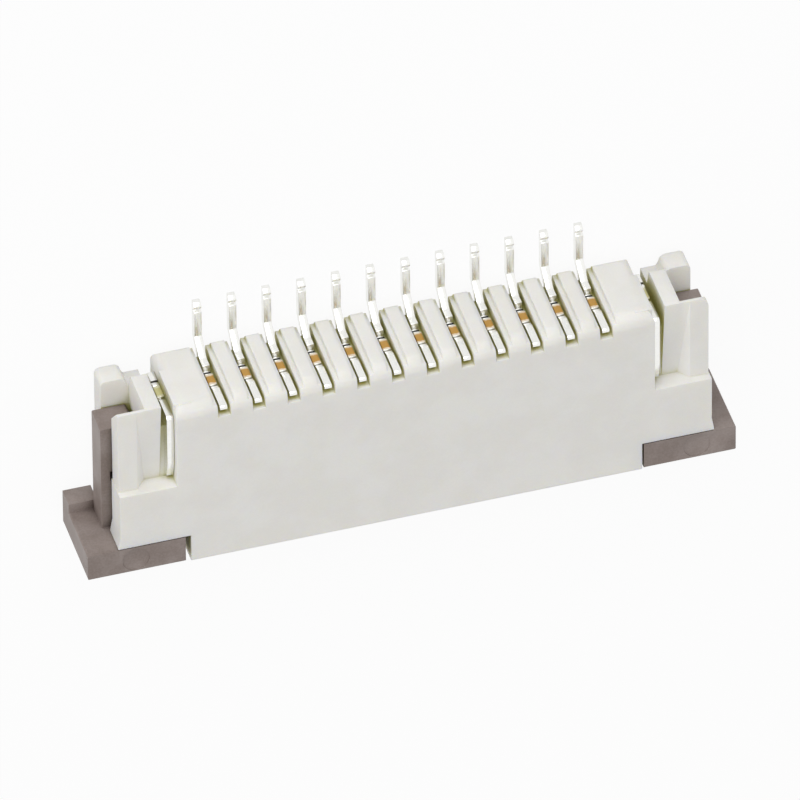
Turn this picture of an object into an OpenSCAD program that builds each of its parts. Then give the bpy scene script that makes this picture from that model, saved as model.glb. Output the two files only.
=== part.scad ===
// Right-angle surface-mount connector for a flat flexible cable, with a sliding lock.
// Twelve stamped forks are pressed into a moulded housing from behind. A slider in
// front carries a tongue that lifts the cable against the forks when it is pushed home.
// X runs along the row, +Y points to the solder tails, +Z points away from the board.
// Heights are above the board. Depths are behind the mating edge of the housing.

/* [Row] */
// Spacing of the contacts
pitch = 1.0; // [0.95:0.01:1.25]
// End contact's centre to the side of the body
end_margin = 1.39; // [1.3:0.01:1.6]

/* [Housing] */
// Top face above the board
top_z = 2.85; // [2.8:0.01:3.1]
// Underside above the board
standoff = 0.25; // [0.15:0.01:0.3]
// Mating edge to the rear of the ribs
body_d = 5.7; // [5.6:0.01:6.2]
// Mating edge to the front of the body and ears
front_y = 0.97; // [0.9:0.01:1.2]
// Floor under the cable
floor_t = 0.5; // [0.45:0.01:0.55]
// Skin left under the lower arms of the forks
floor_skin = 0.2; // [0.15:0.01:0.25]
// Roof over the upper arms of the forks
roof_t = 0.5; // [0.45:0.01:0.55]
// Side walls of the cable slot
side_wall = 0.34; // [0.25:0.01:0.45]
// Wall behind the cable slot
rear_wall = 1.3; // [1.2:0.01:1.4]
// Gap for the cable over the tongue
entry_h = 0.5; // [0.45:0.01:0.55]
// Depth of the solid lip over the mating edge
lip_d = 1.7; // [1.4:0.01:1.8]
// Inset of the lip from the body's sides
lip_inset = 0.37; // [0.3:0.01:0.5]
// Lead-in along the lip's lower edge
lip_lead = 0.25; // [0.1:0.01:0.35]
// Width of the slot mouths in the rear face
mouth_w = 0.38; // [0.34:0.01:0.45]
// Depth of the slot mouths
mouth_d = 0.58; // [0.5:0.01:0.6]
// Rounding of the ribs beside the slot mouths
rib_r = 0.2; // [0.1:0.01:0.24]
// Rounding of the body's rear corners
corner_r = 0.32; // [0.1:0.01:0.35]
// Rounding of the rear edge under the top face
rear_top_r = 0.45; // [0.3:0.01:0.5]
// Rounding of the rear edge at the underside
rear_low_r = 0.3; // [0.2:0.01:0.35]

/* [Ears] */
// Ear beyond the body's side
ear_w = 1.67; // [1.6:0.01:1.9]
// Height of the full block at the foot of the ear
ear_block_d = 1.91; // [1.8:0.01:2]
// Mating edge to the rear of the upper panel
ear_d = 5.68; // [5.5:0.01:5.75]
// Inset of the panel from the ear's outer side
panel_inset = 0.05; // [0.02:0.01:0.1]
// Flare of the block at its foot
block_flare = 0.05; // [0:0.01:0.1]
// Step from the top face down to the panel
panel_step = 0.23; // [0.15:0.01:0.3]
// Extra depth of the pocket beside the nail
pocket_step = 0.32; // [0.2:0.01:0.35]
// Width of that pocket
pocket_w = 0.45; // [0.4:0.01:0.5]
// Slope of the pocket's outer side
pocket_ramp = 0.27; // [0.15:0.01:0.3]
// Front wall's inner face below the top face
ear_wall = 0.85; // [0.75:0.01:0.9]
// Rear wall of the ear, on the board side
ear_back = 0.65; // [0.55:0.01:0.66]
// Mating edge to the rear of the low part of that wall
ear_back_d = 5.1; // [4.95:0.01:5.2]
// Rise of the tower at the outer end of that wall
tower_rise = 0.36; // [0.2:0.01:0.45]
// Rounding of the tower
tower_r = 0.16; // [0.05:0.01:0.2]
// Rib between the nail slot and the arm channel
ear_rib = 0.45; // [0.4:0.01:0.5]
// Lead-in behind the front wall
ear_lead = 0.58; // [0.4:0.01:0.62]
// Corner of the left panel
panel_left_r = 0.05; // [0.05:0.01:0.3]
// Corner of the right panel
panel_right_r = 0.3; // [0.05:0.01:0.35]

/* [Contacts] */
// Thickness of the contact sheet
contact_t = 0.22; // [0.18:0.01:0.24]
// Height of the solder tail
tail_h = 0.24; // [0.2:0.01:0.26]
// Flat top of the solder tail
tail_flat = 1.16; // [1:0.01:1.5]
// Rear edge of the fork, below the ribs' rear face
contact_inset = 0.29; // [0.25:0.01:0.38]
// Top of the fork below the top face
contact_drop = 0.09; // [0.08:0.01:0.15]
// Depth of the fork's back
spine_d = 0.86; // [0.8:0.01:0.9]
// Height of the lower arm
low_arm_h = 0.27; // [0.22:0.01:0.29]
// Length of the lower arm
low_arm_len = 1.35; // [1:0.01:1.6]
// Length of the upper arm
top_arm_len = 2.6; // [2.3:0.01:2.7]
// Height of the upper arm at its root
arm_root_h = 0.38; // [0.34:0.01:0.42]
// Height of the upper arm at its tip
arm_tip_h = 0.2; // [0.16:0.01:0.24]
// Contact point above the tongue
bump_gap = 0.16; // [0.1:0.01:0.25]
// Depth of the score line across the tail
score_d = 0.09; // [0.03:0.01:0.12]
// Depth of the stub below the fork's rear edge
stub_in = 0.09; // [0.05:0.01:0.12]
// Extra depth of the notches beside the stub
notch_d = 0.1; // [0.05:0.01:0.12]
// Height of the stub where the carrier strip was cut off
stub_h = 0.48; // [0.4:0.01:0.5]
// Top of the rise to the lower edge of the stub
stub_up = 0.58; // [0.5:0.01:0.65]

/* [Nails] */
// Thickness of the nail sheet
nail_t = 0.2; // [0.16:0.01:0.22]
// Width of the nail slots
nail_slot_w = 0.36; // [0.34:0.01:0.39]
// Rear edge of the nail, below the ribs' rear face
nail_inset = 0.43; // [0.35:0.01:0.5]
// Top of the nail below the top face
nail_drop = 0.22; // [0.1:0.01:0.24]
// Depth of the nail's back
nail_back_d = 0.55; // [0.5:0.01:0.6]
// Front end of the nail's upper arm, behind the mating edge
nail_top_y = 3.0; // [2.98:0.01:3.3]
// Depth of the nail's upper arm
nail_top_h = 0.34; // [0.25:0.01:0.36]
// Front of the nail's solder foot, behind the mating edge
nail_foot_y = 1.6; // [1.4:0.01:1.9]
// Length of the nail's solder foot
nail_foot_len = 2.2; // [1.6:0.01:2.4]
// Height of the nail's lower arm above the underside
nail_low_h = 0.55; // [0.5:0.01:0.6]

/* [Slider] */
// Slider's front behind the mating edge
bar_y = 0.06; // [0.03:0.01:0.2]
// Slider's underside above that of the housing
bar_up = 0.06; // [0.03:0.01:0.1]
// Slider beyond the ear at the left
reach_left = 0.94; // [0.8:0.01:1.1]
// Slider beyond the ear at the right
reach_right = 0.68; // [0.5:0.01:0.8]
// Gap between the left end block and the lip
side_gap_left = 0.16; // [0.05:0.01:0.25]
// Gap between the right end block and the lip
side_gap_right = 0.05; // [0.03:0.01:0.1]
// Thickness of the tongue
tongue_t = 0.4; // [0.36:0.01:0.42]
// Reach of the tongue behind the bar
tongue_len = 2.45; // [2.2:0.01:2.6]
// Left arm past the ear's outer face
arm_out_left = 0.23; // [0.1:0.01:0.3]
// Right arm past the ear's outer face
arm_out_right = 0.16; // [0.1:0.01:0.3]
// Height of the arm's end behind the mating edge
arm_end_y = 4.57; // [4.4:0.01:4.7]
// Height of the raised pad at the left end
pad_up = 0.3; // [0.1:0.01:0.35]
// Width of the raised pad at the left end
pad_h = 0.62; // [0.5:0.01:0.64]
// Diameter of the ejector marks
mark_d = 0.78; // [0.6:0.01:0.84]
// Depth of the ejector marks
mark_depth = 0.03; // [0.02:0.01:0.05]
// Opening travel
travel = 1.2; // [1:0.01:1.3]

/* [Clearances] */
// Gap in front of the arm
arm_gap = 0.18; // [0.1:0.01:0.2]
// Catch of the ear's lug in the arm's groove
catch_h = 0.1; // [0.05:0.01:0.12]
// Running gap around the tongue, the arms and the slider's ends
slide_gap = 0.05; // [0.03:0.01:0.07]
// Gap between the closed slider and the ears
seat_gap = 0.03; // [0.02:0.01:0.05]
// Side gap of a fork in its slot
fit_gap = 0.01; // [0.01:0.005:0.02]

/* [Hidden] */
$fn = 48;
ways = 12;
cut = 0.5;

// Widths, from the middle of the row
body_hw = (ways - 1) / 2 * pitch + end_margin;
slot_hw = body_hw - side_wall;
lip_hw = body_hw - lip_inset;
ear_hw = body_hw + ear_w;
nail_x = body_hw + nail_t / 2 + fit_gap;
rib_x0 = body_hw + nail_slot_w;
rib_x1 = rib_x0 + ear_rib;
arm_x0 = rib_x1 + slide_gap * 2;

// Heights above the board
floor_z = standoff + floor_t;
fork_z = standoff + floor_skin;
tongue_z0 = floor_z + slide_gap;
tongue_z1 = tongue_z0 + tongue_t;
comb_z = tongue_z1 + entry_h;
arm_slot_z = top_z - roof_t;
head_z = top_z - contact_drop;
panel_z = top_z - panel_step;
channel_z0 = standoff + ear_back;
channel_z1 = top_z - ear_wall;
bar_z0 = standoff + bar_up;
arm_z1 = channel_z1 - arm_gap;
nail_z1 = top_z - nail_drop;
nail_core_z0 = standoff + nail_low_h;
nail_core_z1 = nail_z1 - nail_top_h;
rise_z = fork_z + 0.2;

// Depths behind the mating edge
slot_y = body_d - rear_wall;
spine_y1 = body_d - contact_inset;
spine_y0 = spine_y1 - spine_d;
tail_y0 = spine_y1 + 0.05 + rise_z - tail_h;
tail_y1 = tail_y0 + tail_flat;
mouth_y = body_d - mouth_d;
block_y = front_y + ear_block_d;
bar_y1 = front_y - seat_gap;
tongue_y = bar_y1 + tongue_len;
bump_y = tongue_y - 0.65;
nail_y1 = body_d - nail_inset;
nail_y0 = nail_y1 - nail_back_d;
lug_y = block_y + 0.02;

// ---------------------------------------------------------------- helpers

// Puts the middle of the footprint at the origin
module place() { translate([0, -tail_y1 / 2, 0]) children(); }

// Block between two values on each axis
module span(x, y, z) {
    translate([x[0], y[0], z[0]]) cube([x[1] - x[0], y[1] - y[0], z[1] - z[0]]);
}

// Profile of depths and heights, extruded along X about a middle
module along_x(width, x = 0) {
    translate([x - width / 2, 0, 0]) rotate([90, 0, 90]) linear_extrude(width) children();
}

// Waste outside a rounded edge: the corner is at the origin, the part is towards + +
module round_waste(r, length) {
    difference() {
        translate([-cut, -cut, 0]) cube([r + cut, r + cut, length]);
        translate([r, r, -cut]) cylinder(r = r, h = length + 2 * cut);
    }
}

// The same waste for an edge along X, with the part towards +Y or -Y and +Z or -Z
module round_x(x, y, z, r, sy, sz) {
    translate([x[0], y, z]) mirror([0, sy < 0 ? 1 : 0, 0]) mirror([0, 0, sz < 0 ? 1 : 0])
        rotate([90, 0, 90]) round_waste(r, x[1] - x[0]);
}

// The same waste for an edge along Z
module round_z(x, y, z, r, sx, sy) {
    translate([x, y, z[0]]) mirror([sx < 0 ? 1 : 0, 0, 0]) mirror([0, sy < 0 ? 1 : 0, 0])
        round_waste(r, z[1] - z[0]);
}

// The same piece at both ends of the row
module both_ends() {
    children();
    mirror([1, 0, 0]) children();
}

function contact_x(i) = (i - (ways + 1) / 2) * pitch;

// ---------------------------------------------------------------- housing

// Slot for one fork: a tight back, room for both arms and a rounded mouth
module fork_slot(x) {
    tight = contact_t / 2 + fit_gap;
    free = tight + 0.06;
    span([x - tight, x + tight], [slot_y - cut, mouth_y + cut], [fork_z, arm_slot_z]);
    span([x - tight, x + tight], [spine_y0 - low_arm_len - 0.1, slot_y], [fork_z, floor_z + cut]);
    span([x - free, x + free], [lip_d, spine_y0], [comb_z - cut, arm_slot_z]);
    span([x - mouth_w / 2, x + mouth_w / 2], [mouth_y, body_d + cut], [-cut, top_z + cut]);
    for (side = [-1, 1])
        round_z(x + side * mouth_w / 2, body_d, [0, top_z], rib_r, side, -1);
}

// Room for the cable and the tongue, with its lead-in under the lip
module cable_slot() {
    span([-slot_hw, slot_hw], [-cut, slot_y], [floor_z, comb_z]);
    along_x(2 * slot_hw) polygon([[-cut, comb_z - cut], [lip_lead, comb_z - cut],
        [lip_lead, comb_z], [0, comb_z + lip_lead], [-cut, comb_z + lip_lead]]);
}

// Outline of the ear's rear wall, with a rounded tower at its outer end
module ear_back_outline() {
    tower = [ear_hw - panel_inset - 0.82, ear_hw - panel_inset];
    tower_y = ear_back_d + tower_rise;
    polygon([[body_hw - cut, front_y], [tower[1], front_y],
        for (a = [0 : 15 : 90]) [tower[1] - tower_r * (1 - cos(a)), tower_y - tower_r * (1 - sin(a))],
        for (a = [0 : 15 : 90]) [tower[0] + 0.3 - tower_rise * 0.6 * sin(a),
            tower_y - tower_rise * 0.6 * (1 - cos(a))],
        [tower[0], ear_back_d], [body_hw - cut, ear_back_d]]);
}

// Front wall of the ear: full block at the foot, thinner panel above, lead-in behind
module ear_front_wall(corner_r) {
    wall = [body_hw - cut, ear_hw + block_flare];
    difference() {
        along_x(wall[1] - wall[0], (wall[0] + wall[1]) / 2)
            polygon([[front_y, channel_z1], [ear_d - ear_lead, channel_z1],
                [ear_d, panel_z - 0.1], [ear_d, panel_z], [block_y, panel_z],
                [block_y, top_z], [front_y, top_z]]);
        // Outer side: the panel is inset and the block flares at its foot
        translate([0, 0, channel_z1 - cut]) linear_extrude(top_z)
            polygon([[ear_hw + block_flare, front_y - cut], [ear_hw + block_flare, front_y + 0.04],
                [ear_hw - 0.02, front_y + 0.45], [ear_hw - 0.02, block_y],
                [ear_hw - panel_inset, block_y], [ear_hw - panel_inset, ear_d + cut],
                [ear_hw + cut, ear_d + cut], [ear_hw + cut, front_y - cut]]);
        round_z(ear_hw - panel_inset, ear_d, [channel_z1 - cut, top_z + cut], corner_r, -1, -1);
    }
    // Lug that keeps the slider's arm in its channel
    span([arm_x0 + 0.15, arm_x0 + 0.4], [lug_y, lug_y + 0.2],
        [arm_z1 - catch_h, channel_z1 + 0.1]);
}

// Web that carries the ear and its nail, with the rib beside the arm channel
module ear_web() {
    along_x(rib_x1 - body_hw + cut, (rib_x1 + body_hw - cut) / 2)
        polygon([[front_y, standoff], [ear_back_d, standoff], [ear_back_d, channel_z0],
            [ear_d - 0.08, channel_z0 + 0.14], [ear_d, channel_z0 + 0.22], [ear_d, panel_z],
            [front_y, panel_z]]);
}

// Pocket beside the nail: it deepens towards the block and has a sloped outer side
module nail_pocket() {
    inner = rib_x0 - cut;
    outer = rib_x0 + pocket_w;
    hull() for (end = [[block_y, pocket_step], [ear_d + 0.01, 0.02]])
        translate([0, end[0], panel_z]) rotate([90, 0, 0]) linear_extrude(0.001)
            polygon([[inner, -end[1]], [outer, -end[1]], [outer + pocket_ramp, 0],
                [outer + pocket_ramp, cut], [inner, cut]]);
}

// Slot that wraps round the core inside the nail
module nail_slot() {
    wide = [body_hw, rib_x0];
    span(wide, [nail_y0, body_d + cut], [nail_core_z0, top_z + cut]);
    span(wide, [nail_top_y - 0.08, body_d], [nail_core_z1, top_z + cut]);
    span(wide, [nail_foot_y - 0.08, nail_y1 + 0.02], [-cut, nail_core_z0 + 0.01]);
}

module ear(corner_r) {
    difference() {
        union() {
            translate([0, 0, standoff]) linear_extrude(ear_back) ear_back_outline();
            ear_web();
            ear_front_wall(corner_r);
        }
        nail_pocket();
        nail_slot();
    }
}

// Body of the housing, rounded along its rear edges
module body_block() {
    whole = [-body_hw - cut, body_hw + cut];
    difference() {
        union() {
            span([-body_hw, body_hw], [front_y, body_d], [standoff, top_z]);
            span([-lip_hw, lip_hw], [0, front_y + cut], [comb_z, top_z]);
        }
        round_x(whole, body_d, top_z, rear_top_r, -1, -1);
        round_x(whole, body_d, standoff, rear_low_r, -1, 1);
        round_x(whole, 0, top_z, 0.08, 1, -1);
        both_ends() round_z(body_hw, body_d, [0, top_z + cut], corner_r, -1, -1);
    }
}

module housing() {
    color("ivory") place() difference() {
        union() {
            body_block();
            ear(panel_right_r);
            mirror([1, 0, 0]) ear(panel_left_r);
        }
        cable_slot();
        for (i = [1 : ways]) fork_slot(contact_x(i));
    }
}

// ---------------------------------------------------------------- contacts

// Side view of a fork: tail, rise, back with the cut-off stub, and two arms
module fork_outline() {
    root_z = arm_slot_z - 0.05;
    tip_y = spine_y0 - top_arm_len;
    tip_z = root_z - (arm_root_h - arm_tip_h) - 0.02;
    bump_z = tongue_z1 + bump_gap;
    stub_z = rise_z + stub_up;
    polygon([
        // Solder tail, with its rounded end and the score line
        [tail_y0 - 0.1, 0], [tail_y1, 0], [tail_y1, tail_h - 0.1], [tail_y1 - 0.1, tail_h],
        [tail_y1 - 0.16, tail_h], [tail_y1 - 0.2, tail_h - score_d],
        [tail_y1 - 0.27, tail_h - score_d], [tail_y1 - 0.3, tail_h],
        // Rise to the back of the fork
        [tail_y0, tail_h], [spine_y1 + 0.05, rise_z], [spine_y1, rise_z + 0.09],
        // Stub of the carrier strip, sunk between its two notches
        [spine_y1, stub_z - 0.24], [spine_y1 - stub_in - notch_d, stub_z - 0.2],
        [spine_y1 - stub_in - notch_d, stub_z - 0.04], [spine_y1 - stub_in, stub_z],
        [spine_y1 - stub_in, stub_z + stub_h], [spine_y1 - stub_in - notch_d, stub_z + stub_h + 0.02],
        [spine_y1 - stub_in - notch_d, stub_z + stub_h + 0.09],
        [spine_y1 - stub_in / 2, stub_z + stub_h + 0.11], [spine_y1 - stub_in / 2, stub_z + stub_h + 0.2],
        [spine_y1, stub_z + stub_h + 0.24],
        // Head and upper arm
        [spine_y1, head_z - 0.04], [spine_y1 - 0.04, head_z], [spine_y1 - 0.12, head_z],
        [mouth_y + 0.04, head_z - 0.2], [mouth_y + 0.02, root_z], [spine_y0, root_z],
        [tip_y, tip_z + arm_tip_h], [tip_y, tip_z], [bump_y - 0.35, tip_z - 0.02],
        for (a = [-60 : 30 : 60]) [bump_y + 0.1 * sin(a), bump_z + 0.1 * (1 - cos(a))],
        [bump_y + 0.35, tip_z], [spine_y0 - 0.1, root_z - arm_root_h],
        // Throat and lower arm
        [spine_y0, root_z - arm_root_h - 0.1], [spine_y0, fork_z + low_arm_h + 0.1],
        [spine_y0 - 0.1, fork_z + low_arm_h], [spine_y0 - low_arm_len + 0.15, fork_z + low_arm_h],
        [spine_y0 - low_arm_len, fork_z + low_arm_h - 0.1], [spine_y0 - low_arm_len, fork_z],
        [tail_y0 - 0.1 - fork_z, fork_z]
    ]);
}

module contact(i) {
    color("silver") place() along_x(contact_t, contact_x(i)) fork_outline();
}

// ---------------------------------------------------------------- nails

// Side view of a nail: it clasps the web of the ear and stands on the board
module nail_outline() {
    stub_z = rise_z + stub_up;
    stub_y = nail_y1 - 0.03;
    foot_y1 = nail_foot_y + nail_foot_len;
    polygon([
        [nail_foot_y, 0.1], [nail_foot_y + 0.1, 0], [foot_y1, 0], [foot_y1 + 0.3, rise_z - 0.25],
        [nail_y1 - 0.25, rise_z - 0.25], [nail_y1, rise_z],
        // Stub of the carrier strip between its two notches
        [nail_y1, stub_z - 0.22], [nail_y1 - 0.05, stub_z - 0.19], [nail_y1 - 0.05, stub_z - 0.13],
        [nail_y1, stub_z - 0.1], [nail_y1, stub_z - 0.02],
        [stub_y, stub_z + 0.02], [stub_y, stub_z + stub_h - 0.02],
        [stub_y - notch_d, stub_z + stub_h], [stub_y - notch_d, stub_z + stub_h + 0.09],
        [nail_y1, stub_z + stub_h + 0.12],
        // Upper arm, with its tapered end
        [nail_y1, nail_z1 - 0.08], [nail_y1 - 0.08, nail_z1], [nail_top_y + 0.6, nail_z1],
        [nail_top_y + 0.05, nail_z1 - 0.12], [nail_top_y, nail_z1 - 0.18],
        [nail_top_y, nail_core_z1],
        // Inner edges, seated on the web
        [nail_y0, nail_core_z1], [nail_y0, nail_core_z0], [nail_foot_y + 0.1, nail_core_z0],
        [nail_foot_y, nail_core_z0 - 0.1]
    ]);
}

module nail(side) {
    color("silver") place() along_x(nail_t, side * nail_x) nail_outline();
}

// ---------------------------------------------------------------- slider

// Arm that runs in the ear's channel, with the groove that the ear's lug catches in
module arm(outer) {
    difference() {
        span([arm_x0, outer], [bar_y, arm_end_y], [channel_z0 + slide_gap, arm_z1]);
        round_z(outer, arm_end_y, [0, top_z], 0.04, -1, -1);
        round_z(arm_x0, arm_end_y, [0, top_z], 0.08, 1, -1);
        // Groove for the lug, over the whole travel
        span([arm_x0 - cut, arm_x0 + 0.45], [lug_y - 0.1, lug_y + 0.2 + travel + slide_gap],
            [arm_z1 - catch_h - slide_gap, top_z]);
        // Relief at the foot of the groove
        span([arm_x0 - cut, ear_hw - panel_inset + 0.02], [lug_y - 0.25, lug_y + 0.08],
            [arm_z1 - 0.3, top_z]);
    }
}

// End block under the ear, flush with the top face
module end_block(inner, reach) {
    outer = ear_hw + reach;
    difference() {
        span([inner, outer], [bar_y, bar_y1], [bar_z0, top_z]);
        round_z(outer, bar_y, [0, top_z + cut], 0.07, -1, 1);
        round_z(outer, bar_y1, [0, top_z + cut], 0.04, -1, -1);
        round_x([inner - cut, outer + cut], bar_y, top_z, 0.05, 1, -1);
        translate([ear_hw - 0.45, (bar_y + bar_y1) / 2, top_z - mark_depth])
            cylinder(d = mark_d, h = cut);
    }
}

// Cross-section of the bar and its wedge-shaped tongue
module tongue_outline() {
    polygon([[bar_y, bar_z0 + 0.06], [bar_y + 0.06, bar_z0], [bar_y1, bar_z0],
        [bar_y1, tongue_z0], [tongue_y - 0.1, tongue_z0], [tongue_y, tongue_z0 + 0.08],
        [tongue_y, tongue_z0 + 0.16], [tongue_y - 0.55, tongue_z1], [bar_y + 0.2, tongue_z1],
        [bar_y, tongue_z1 - 0.15]]);
}

module slider() {
    color("rosybrown") place() {
        along_x(2 * (slot_hw - slide_gap * 2)) tongue_outline();
        span([-lip_hw - 0.3, lip_hw + 0.3], [bar_y, bar_y1], [bar_z0, tongue_z1]);
        end_block(lip_hw + side_gap_right, reach_right);
        mirror([1, 0, 0]) end_block(lip_hw + side_gap_left, reach_left);
        arm(ear_hw + arm_out_right);
        mirror([1, 0, 0]) arm(ear_hw + arm_out_left);
        // Raised pad on the board side of the left end
        span([-ear_hw - reach_left, -ear_hw - arm_out_left + 0.1],
            [bar_y1 - 0.1, bar_y1 + pad_up], [bar_z0, bar_z0 + pad_h]);
    }
}

housing();
slider();
nail(-1);  // nail_left
nail(1);  // nail_right
contact(1);  // contact_01
contact(2);  // contact_02
contact(3);  // contact_03
contact(4);  // contact_04
contact(5);  // contact_05
contact(6);  // contact_06
contact(7);  // contact_07
contact(8);  // contact_08
contact(9);  // contact_09
contact(10);  // contact_10
contact(11);  // contact_11
contact(12);  // contact_12
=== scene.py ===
from math import cos, radians, sin

import bmesh
import bpy
from mathutils import Matrix, Vector


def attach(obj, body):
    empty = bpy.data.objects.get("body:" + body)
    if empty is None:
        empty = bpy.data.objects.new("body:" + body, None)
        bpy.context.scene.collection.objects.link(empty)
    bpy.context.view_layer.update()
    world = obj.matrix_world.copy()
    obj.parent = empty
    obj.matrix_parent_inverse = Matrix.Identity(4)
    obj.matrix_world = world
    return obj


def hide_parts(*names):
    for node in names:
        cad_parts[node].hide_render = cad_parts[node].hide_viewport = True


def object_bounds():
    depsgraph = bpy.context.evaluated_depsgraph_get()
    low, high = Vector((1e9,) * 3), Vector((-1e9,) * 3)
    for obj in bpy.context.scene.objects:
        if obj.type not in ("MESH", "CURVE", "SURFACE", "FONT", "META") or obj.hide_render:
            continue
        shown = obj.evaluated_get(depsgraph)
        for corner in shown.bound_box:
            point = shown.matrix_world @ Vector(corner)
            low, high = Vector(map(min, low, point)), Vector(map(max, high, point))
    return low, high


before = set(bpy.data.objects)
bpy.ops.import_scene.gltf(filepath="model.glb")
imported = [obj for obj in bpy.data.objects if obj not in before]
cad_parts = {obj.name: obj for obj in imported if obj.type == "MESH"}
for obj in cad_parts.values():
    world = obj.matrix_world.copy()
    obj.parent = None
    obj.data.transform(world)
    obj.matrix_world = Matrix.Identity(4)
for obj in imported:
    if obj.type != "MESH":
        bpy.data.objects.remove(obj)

MM = 0.001
cad_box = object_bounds()

# ---------------------------------------------------------------- view and light
# The connector lies on its solder feet, as it does on a board. It is looked at from
# behind and above, with its tails upwards, under a large soft box and a pale surround.

aim = Vector((0.097 * MM, cad_box[0][1] + 2.592 * MM, 0.879 * MM))
turn, lift, roll = radians(-16.1), radians(41.7), radians(-0.55)
eye_distance = 0.644
view_width = 22.19 * MM

towards_eye = Vector((sin(turn) * cos(lift), sin(lift), cos(turn) * cos(lift)))
level = Vector((cos(turn), 0, -sin(turn)))
upright = towards_eye.cross(level)
image_x = level * cos(roll) + upright * sin(roll)
image_y = upright * cos(roll) - level * sin(roll)

camera = bpy.data.objects.new("camera", bpy.data.cameras.new("camera"))
camera.data.lens = camera.data.sensor_width * eye_distance / view_width
pose = Matrix((image_x, image_y, towards_eye)).transposed().to_4x4()
pose.translation = aim + towards_eye * eye_distance
camera.matrix_world = pose
bpy.context.scene.collection.objects.link(camera)
bpy.context.scene.camera = camera
bpy.context.scene.view_settings.view_transform = "Standard"


def soft_box(name, direction, distance, size, watts):
    """A square lamp that faces the connector."""
    lamp = bpy.data.objects.new(name, bpy.data.lights.new(name, "AREA"))
    lamp.data.size = size
    lamp.data.energy = watts
    away = Vector(direction).normalized()
    lamp.matrix_world = Matrix.Translation(away * distance) @ away.to_track_quat("Z", "Y").to_matrix().to_4x4()
    bpy.context.scene.collection.objects.link(lamp)


soft_box("top_box", (-0.25, 1.0, 0.55), 0.20, 0.16, 0.16)
soft_box("side_box", (-1.0, 0.35, 0.6), 0.20, 0.14, 0.05)

world = bpy.data.worlds.new("surround")
bpy.context.scene.world = world
world.use_nodes = True
world_nodes = world.node_tree.nodes
world_nodes.clear()


class Wire:
    """A shader socket that takes part in sums, and from which more nodes are made."""

    def __init__(self, tree, socket=None):
        self.tree = tree
        self.socket = socket

    def node(self, kind, settings, inputs, output=0):
        made = self.tree.nodes.new(kind)
        for name, value in settings.items():
            setattr(made, name, value)
        for place, value in inputs.items():
            if isinstance(value, Wire):
                self.tree.links.new(value.socket, made.inputs[place])
            else:
                made.inputs[place].default_value = value
        return Wire(self.tree, made.outputs[output] if len(made.outputs) else None)

    def math(self, operation, first, second=0.0, clamp=False):
        return self.node("ShaderNodeMath", {"operation": operation, "use_clamp": clamp}, {0: first, 1: second})

    def __add__(self, other):
        return self.math("ADD", self, other)

    def __radd__(self, other):
        return self.math("ADD", other, self)

    def __sub__(self, other):
        return self.math("SUBTRACT", self, other)

    def __rsub__(self, other):
        return self.math("SUBTRACT", other, self)

    def __mul__(self, other):
        return self.math("MULTIPLY", self, other)

    def __rmul__(self, other):
        return self.math("MULTIPLY", other, self)

    def step(self, low, high):
        """0 below low and 1 above high, smooth between."""
        return self.node("ShaderNodeMapRange", {"interpolation_type": "SMOOTHSTEP"},
                         {"Value": self, "From Min": low, "From Max": high})

    def between(self, low, high, soft):
        return self.step(low - soft, low + soft) * (1 - self.step(high - soft, high + soft))

    def mix(self, colour_0, colour_1):
        """From colour_0 where this is 0 to colour_1 where it is 1."""
        mixed = self.node("ShaderNodeMix", {"data_type": "RGBA"}, {"Factor": self})
        made = mixed.socket.node
        for place, value in ((6, colour_0), (7, colour_1)):
            if isinstance(value, Wire):
                self.tree.links.new(value.socket, made.inputs[place])
            else:
                made.inputs[place].default_value = (*value, 1)
        return Wire(self.tree, made.outputs[2])


# The surround lights evenly, and is plain white where the eye or a mirror meets it.
sky = Wire(world.node_tree)
rays = sky.node("ShaderNodeLightPath", {}, {})
mirrored = Wire(sky.tree, rays.socket.node.outputs["Is Glossy Ray"])
seen = rays.math("MAXIMUM", rays, mirrored, clamp=True)
fill_light = 0.58
strength = seen * (1 - fill_light) + fill_light
light = sky.node("ShaderNodeBackground", {}, {"Color": (1, 1, 1, 1), "Strength": strength})
sky.node("ShaderNodeOutputWorld", {}, {"Surface": light})

floor_mesh = bpy.data.meshes.new("floor")
reach = 3.0
floor_mesh.from_pydata([(-reach, -reach, 0), (reach, -reach, 0), (reach, reach, 0), (-reach, reach, 0)],
                       [], [(0, 1, 2, 3)])
floor = bpy.data.objects.new("floor", floor_mesh)
bpy.context.scene.collection.objects.link(floor)
paper = bpy.data.materials.new("white_paper")
paper.use_nodes = True
paper.node_tree.nodes.clear()
sheet = Wire(paper.node_tree)
rays = sheet.node("ShaderNodeLightPath", {}, {})
matt = sheet.node("ShaderNodeBsdfDiffuse", {}, {"Color": (0.86, 0.86, 0.86, 1)})
glow = sheet.node("ShaderNodeEmission", {}, {"Color": (1, 1, 1, 1), "Strength": 1.0})
mirrored = Wire(sheet.tree, rays.socket.node.outputs["Is Glossy Ray"])
seen_share, mirrored_share = 0.93, 0.9
shown = rays.math("MAXIMUM", rays * seen_share, mirrored * mirrored_share, clamp=True)
surface = sheet.node("ShaderNodeMixShader", {}, {0: shown, 1: matt, 2: glow})
sheet.node("ShaderNodeOutputMaterial", {}, {"Surface": surface})
floor_mesh.materials.append(paper)

# ---------------------------------------------------------------- housing
# The housing is one moulding in cream glass-filled resin. Its skin is finely matt,
# its edges are rounded by the tool, and it is slightly cloudy where it is thin.

resin_colour = (0.815, 0.80, 0.76)
resin_flow = (0.85, 0.84, 0.81)
# The next colour is painted shade: an olive tone put into the housing's hollows
resin_painted_shade = (0.47, 0.44, 0.13)
housing_edge = 0.022 * MM
weld_distance = 0.0005 * MM
flat_angle, crease_angle = radians(0.5), radians(32)


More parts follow.
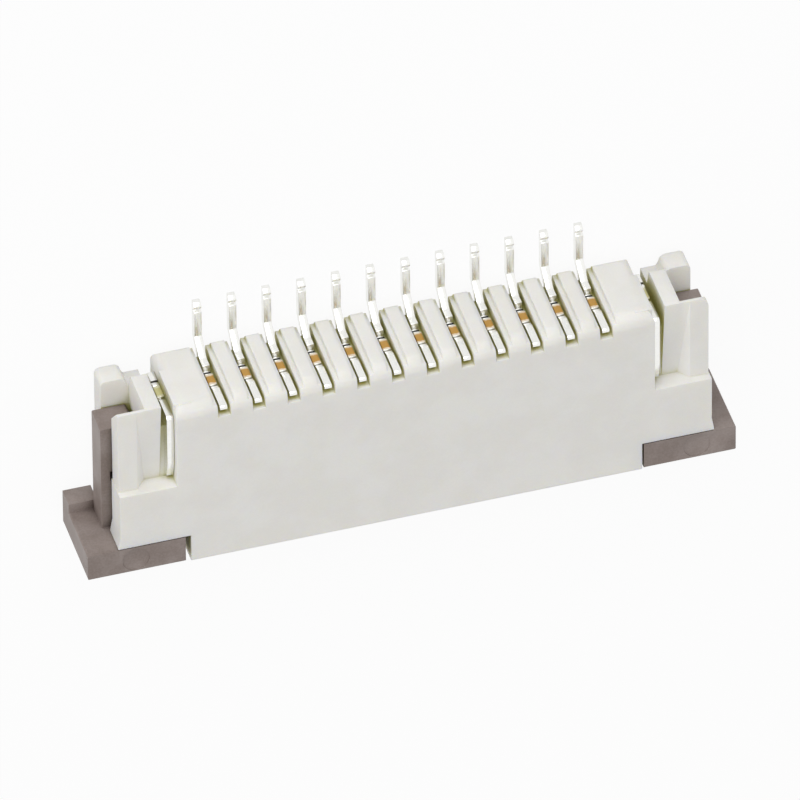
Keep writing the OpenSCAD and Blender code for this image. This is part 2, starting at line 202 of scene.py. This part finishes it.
def rounded_copy(node, name, radius):
    """A copy of a node with whole flat faces and a small radius on its edges."""
    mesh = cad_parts[node].data.copy()
    mesh.name = name
    solid = bmesh.new()
    solid.from_mesh(mesh)
    bmesh.ops.remove_doubles(solid, verts=solid.verts, dist=weld_distance)
    bmesh.ops.dissolve_limit(solid, angle_limit=flat_angle, verts=solid.verts, edges=solid.edges)
    solid.to_mesh(mesh)
    solid.free()
    mesh.materials.clear()
    piece = bpy.data.objects.new(name, mesh)
    bpy.context.scene.collection.objects.link(piece)
    edge = piece.modifiers.new("edge", "BEVEL")
    edge.width = radius
    edge.segments = 2
    edge.limit_method = "ANGLE"
    edge.angle_limit = crease_angle
    for face in mesh.polygons:
        face.use_smooth = True
    smooth = piece.modifiers.new("smooth", "WEIGHTED_NORMAL")
    smooth.keep_sharp = True
    return piece


def blank_material(name):
    """An empty material, and its object coordinates in millimetres."""
    material = bpy.data.materials.new(name)
    material.use_nodes = True
    material.node_tree.nodes.clear()
    place = Wire(material.node_tree).node("ShaderNodeTexCoord", {}, {}, "Object")
    return material, place.node("ShaderNodeMapping", {}, {"Vector": place, "Scale": (1 / MM, 1 / MM, 1 / MM)})


def moulded(name, colour, flow, crevice_painted_shade, grain, rough, cloud, radius):
    """Moulded resin: faint flow marks, a matt spark-eroded grain, a little cloudiness and painted shade in
    hollows.
    """
    material, place = blank_material(name)
    wire = Wire(material.node_tree)
    broad = wire.node("ShaderNodeTexNoise", {}, {"Vector": place, "Scale": 0.9, "Detail": 3.0})
    fine = wire.node("ShaderNodeTexNoise", {}, {"Vector": place, "Scale": 16.0, "Detail": 4.0})
    tint = (0.65 * broad.step(0.35, 0.65) + 0.35 * fine.step(0.3, 0.7)).mix(colour, flow)
    # Painted shade: hollows found by ambient occlusion take the crevice colour, standing in for the yellowish
    # shade that translucent resin shows there
    open_air = wire.node("ShaderNodeAmbientOcclusion", {"samples": 12}, {"Distance": 0.55 * MM}, 1)
    tint = (1 - open_air.step(0.12, 0.62)).mix(tint, crevice_painted_shade)
    relief = wire.node("ShaderNodeBump", {}, {"Height": fine, "Strength": grain, "Distance": 0.01 * MM})
    body = wire.node("ShaderNodeBsdfPrincipled", {}, {
        "Base Color": tint, "Roughness": rough + 0.12 * fine, "Normal": relief,
        "Subsurface Weight": cloud, "Subsurface Radius": radius, "Subsurface Scale": MM,
        "Specular IOR Level": 0.4})
    wire.node("ShaderNodeOutputMaterial", {}, {"Surface": body})
    return material


housing = rounded_copy("housing", "housing_moulding", housing_edge)
housing.data.materials.append(
    moulded("cream_resin", resin_colour, resin_flow, resin_painted_shade, 0.25, 0.48, 0.35, (0.45, 0.36, 0.16)))
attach(housing, "housing")
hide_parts("housing")

# ---------------------------------------------------------------- contacts
# Twelve forks are stamped from thin copper-alloy strip, tin plated, and pressed into
# the housing edge on. Where each was broken off its carrier strip the copper is bare.

tin = (0.93, 0.93, 0.91)
tin_shade = (0.84, 0.84, 0.80)
notch_shade = (0.015, 0.012, 0.01)
sheared_edge = 0.012 * MM


def plated(name, stub_y, stub, notches, core, rim):
    """Tin plate with faint shear lines, bare where the carrier strip was broken off."""
    material, place = blank_material(name)
    wire = Wire(material.node_tree)
    parts = wire.node("ShaderNodeSeparateXYZ", {}, {"Vector": place})
    along_y = Wire(wire.tree, parts.socket.node.outputs["Y"])
    along_z = Wire(wire.tree, parts.socket.node.outputs["Z"])
    cloud = wire.node("ShaderNodeTexNoise", {}, {"Vector": place, "Scale": 5.0, "Detail": 4.0})
    lines = wire.node("ShaderNodeMapping", {}, {"Vector": place, "Scale": (22.0, 2.5, 2.5)})
    lines = wire.node("ShaderNodeTexNoise", {}, {"Vector": lines, "Scale": 1.0, "Detail": 3.0})
    grain = wire.node("ShaderNodeTexNoise", {}, {"Vector": place, "Scale": 14.0, "Detail": 3.0})
    rear = along_y.step(stub_y - 0.16, stub_y - 0.12) * (1 - along_y.step(stub_y + 0.03, stub_y + 0.06))
    bare = rear * (along_z + (grain - 0.5) * 0.06).between(stub[0], stub[1], 0.012)
    torn = bare * (along_z + (grain - 0.5) * 0.12).between(stub[0] + 0.06, stub[1] - 0.07, 0.02)
    # Painted shade: the two notches near the broken-off stub are painted near-black and made non-metallic
    low, high = (along_z.between(*notch, 0.01) for notch in notches)
    black = rear.math("MAXIMUM", low, high) * rear
    colour = torn.mix(bare.mix(cloud.mix(tin, tin_shade), rim), core)
    relief = wire.node("ShaderNodeBump", {}, {"Height": lines + bare * grain * 2.0, "Strength": 0.35,
                                              "Distance": 0.008 * MM})
    body = wire.node("ShaderNodeBsdfPrincipled", {}, {
        "Base Color": black.mix(colour, notch_shade), "Metallic": 1 - 0.8 * bare - 0.9 * black,
        "Roughness": 0.16 + 0.14 * cloud + 0.25 * bare, "Normal": relief})
    wire.node("ShaderNodeOutputMaterial", {}, {"Surface": body})
    return material


copper = (0.58, 0.32, 0.07)
plate_rim = (0.86, 0.74, 0.58)
fork_tin = plated("tin_plate", 1.805, (1.27, 1.69), ((1.06, 1.19), (1.72, 1.785)), copper, plate_rim)
for name in sorted(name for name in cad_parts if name.startswith("contact_")):
    fork = rounded_copy(name, name + "_fork", sheared_edge)
    fork.data.materials.append(fork_tin)
    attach(fork, "housing")
    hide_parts(name)

# ---------------------------------------------------------------- nails
# A nail clasps the web of each ear. It is stamped from the same strip as the forks
# and holds the connector to the board by its solder foot.

bronze = (0.74, 0.70, 0.36)
nail_tin = plated("nail_plate", 1.725, (1.24, 1.68), ((1.01, 1.05), (1.715, 1.79)), bronze, (0.84, 0.82, 0.6))
for name in ("nail_left", "nail_right"):
    nail = rounded_copy(name, name + "_clasp", sheared_edge)
    nail.data.materials.append(nail_tin)
    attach(nail, "housing")
    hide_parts(name)

# ---------------------------------------------------------------- slider
# The slider is one moulding in taupe-brown resin. It runs in the ears and is flush
# with the top of the housing when it is pushed home.

taupe = (0.215, 0.170, 0.150)
taupe_flow = (0.31, 0.26, 0.24)
# The next colour is painted shade: a dark brown put into the slider's hollows
taupe_painted_shade = (0.05, 0.032, 0.025)
slider_edge = 0.022 * MM

slider = rounded_copy("slider", "slider_moulding", slider_edge)
slider.data.materials.append(
    moulded("taupe_resin", taupe, taupe_flow, taupe_painted_shade, 0.35, 0.40, 0.0, (0.1, 0.1, 0.1)))
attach(slider, "slider")
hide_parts("slider")
